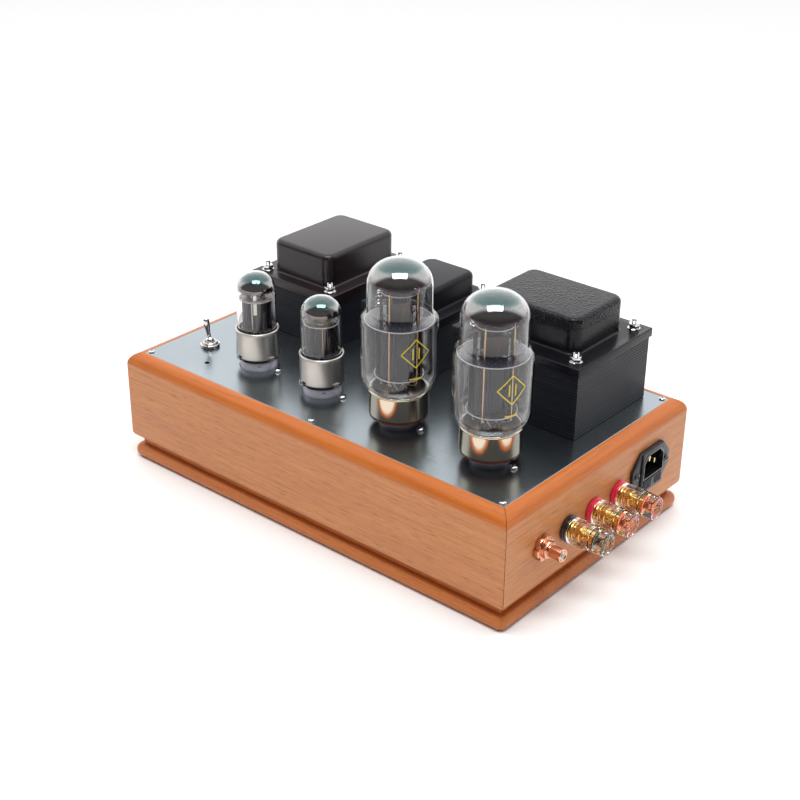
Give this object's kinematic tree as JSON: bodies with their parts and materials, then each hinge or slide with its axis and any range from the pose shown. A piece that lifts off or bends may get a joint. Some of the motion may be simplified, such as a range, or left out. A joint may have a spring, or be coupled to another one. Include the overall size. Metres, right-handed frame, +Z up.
{
  "type": "tube amplifier",
  "caption": "Single-ended valve amplifier: wooden cabinet, polished deck, plug-in valves, capped transformers, toggle switch, speaker posts and mains inlet.",
  "frame": {"origin": "centre of the base board's underside", "axes": "+Z up, +X along the cabinet towards the connector end, -Y towards the long side with the valves"},
  "size_m": [0.3829, 0.2118, 0.2049],
  "materials": {
    "wood": "satin lacquered hardwood with a bright orange lacquered upper edge",
    "deck_steel": "polished sheet, softly mirroring",
    "chrome_hardware": "bright plated nuts, bolts and lever",
    "valve_base_metal": "polished nickel valve bases",
    "black_paint": "gloss black wrinkle paint",
    "brown_black_paint": "satin brown-black paint",
    "lamination": "black stacked core plates",
    "copper_winding": "enamelled copper winding",
    "ceramic": "lilac-white glazed ceramic",
    "valve_glass": "clear bulb glass",
    "electrode_grey": "carbonised grey anode metal",
    "gold_plate": "gold plated",
    "rose_gold": "rose gold plated",
    "black_plastic": "satin black moulding",
    "red_plastic": "glossy red collar",
    "clear_plastic": "clear acrylic",
    "brass_contact": "brass contacts",
    "board_green": "printed circuit board",
    "capacitor_sleeve": "plastic sleeved can"
  },
  "bodies": {
    "chassis": {"base_board": "wood", "front_board": "wood", "back_board": "wood", "end_board": "wood", "connector_board": "wood", "deck_plate": "deck_steel", "driver_socket_1": "ceramic", "driver_socket_2": "ceramic", "output_socket_1": "ceramic", "output_socket_2": "ceramic", "power_transformer_core": "lamination", "power_transformer_coil": "copper_winding", "power_transformer_top_cover": "black_paint", "power_transformer_bolt_1": "chrome_hardware", "power_transformer_bolt_2": "chrome_hardware", "power_transformer_bolt_3": "chrome_hardware", "power_transformer_bolt_4": "chrome_hardware", "output_transformer_core": "lamination", "output_transformer_coil": "copper_winding", "output_transformer_top_cover": "brown_black_paint", "output_transformer_bolt_1": "chrome_hardware", "output_transformer_bolt_2": "chrome_hardware", "output_transformer_bolt_3": "chrome_hardware", "output_transformer_bolt_4": "chrome_hardware", "choke_core": "lamination", "choke_top_cover": "black_paint", "switch_body": "chrome_hardware", "switch_nut": "chrome_hardware", "signal_jack": "rose_gold", "speaker_post_1_collar": "black_plastic", "speaker_post_1_stud": "gold_plate", "speaker_post_2_collar": "red_plastic", "speaker_post_2_stud": "gold_plate", "speaker_post_3_collar": "red_plastic", "speaker_post_3_stud": "gold_plate", "inlet_body": "black_plastic", "inlet_contacts": "brass_contact", "main_board": "board_green", "filter_capacitor": "capacitor_sleeve"},
    "driver_valve_1": {"driver_valve_1_base": "valve_base_metal", "driver_valve_1_glass": "valve_glass", "driver_valve_1_electrodes": "electrode_grey"},
    "driver_valve_2": {"driver_valve_2_base": "valve_base_metal", "driver_valve_2_glass": "valve_glass", "driver_valve_2_electrodes": "electrode_grey"},
    "output_valve_1": {"output_valve_1_base": "valve_base_metal", "output_valve_1_glass": "valve_glass", "output_valve_1_electrodes": "electrode_grey"},
    "output_valve_2": {"output_valve_2_base": "valve_base_metal", "output_valve_2_glass": "valve_glass", "output_valve_2_electrodes": "electrode_grey"},
    "post_1_insert": {"speaker_post_1_insert": "gold_plate"},
    "post_1_cap": {"speaker_post_1_cap": "clear_plastic"},
    "post_2_insert": {"speaker_post_2_insert": "gold_plate"},
    "post_2_cap": {"speaker_post_2_cap": "clear_plastic"},
    "post_3_insert": {"speaker_post_3_insert": "gold_plate"},
    "post_3_cap": {"speaker_post_3_cap": "clear_plastic"},
    "lever": {"switch_lever": "chrome_hardware"},
    "drawer": {"fuse_drawer": "black_plastic", "fuse": "valve_glass"}
  },
  "joints": [
    {"name": "driver_valve_1_unplug", "type": "slide", "parent": "chassis", "child": "driver_valve_1", "axis": [0, 0, 1], "range_m": [0, 0.025]},
    {"name": "driver_valve_2_unplug", "type": "slide", "parent": "chassis", "child": "driver_valve_2", "axis": [0, 0, 1], "range_m": [0, 0.025]},
    {"name": "output_valve_1_unplug", "type": "slide", "parent": "chassis", "child": "output_valve_1", "axis": [0, 0, 1], "range_m": [0, 0.025]},
    {"name": "output_valve_2_unplug", "type": "slide", "parent": "chassis", "child": "output_valve_2", "axis": [0, 0, 1], "range_m": [0, 0.025]},
    {"name": "post_1_travel", "type": "slide", "parent": "chassis", "child": "post_1_insert", "axis": [1, 0, 0], "range_m": [0, 0.006]},
    {"name": "post_1_turn", "type": "hinge", "parent": "post_1_insert", "child": "post_1_cap", "pos_m": [0.1907, -0.0384, 0.0482], "axis": [1, 0, 0], "range_deg": [0, 2161]},
    {"name": "post_2_travel", "type": "slide", "parent": "chassis", "child": "post_2_insert", "axis": [1, 0, 0], "range_m": [0, 0.006]},
    {"name": "post_2_turn", "type": "hinge", "parent": "post_2_insert", "child": "post_2_cap", "pos_m": [0.1907, -0.0092, 0.0482], "axis": [1, 0, 0], "range_deg": [0, 2161]},
    {"name": "post_3_travel", "type": "slide", "parent": "chassis", "child": "post_3_insert", "axis": [1, 0, 0], "range_m": [0, 0.006]},
    {"name": "post_3_turn", "type": "hinge", "parent": "post_3_insert", "child": "post_3_cap", "pos_m": [0.1907, 0.02, 0.0482], "axis": [1, 0, 0], "range_deg": [0, 2161]},
    {"name": "switch_throw", "type": "hinge", "parent": "chassis", "child": "lever", "pos_m": [-0.138, -0.0565, 0.0905], "axis": [0, 1, 0], "range_deg": [0, 24]},
    {"name": "fuse_drawer_slide", "type": "slide", "parent": "chassis", "child": "drawer", "axis": [1, 0, 0], "range_m": [0, 0.022]}
  ],
  "couplings": [
    {"joint": "post_1_turn", "follows": "post_1_travel", "rad_per_m": 6283.2},
    {"joint": "post_2_turn", "follows": "post_2_travel", "rad_per_m": 6283.2},
    {"joint": "post_3_turn", "follows": "post_3_travel", "rad_per_m": 6283.2}
  ]
}
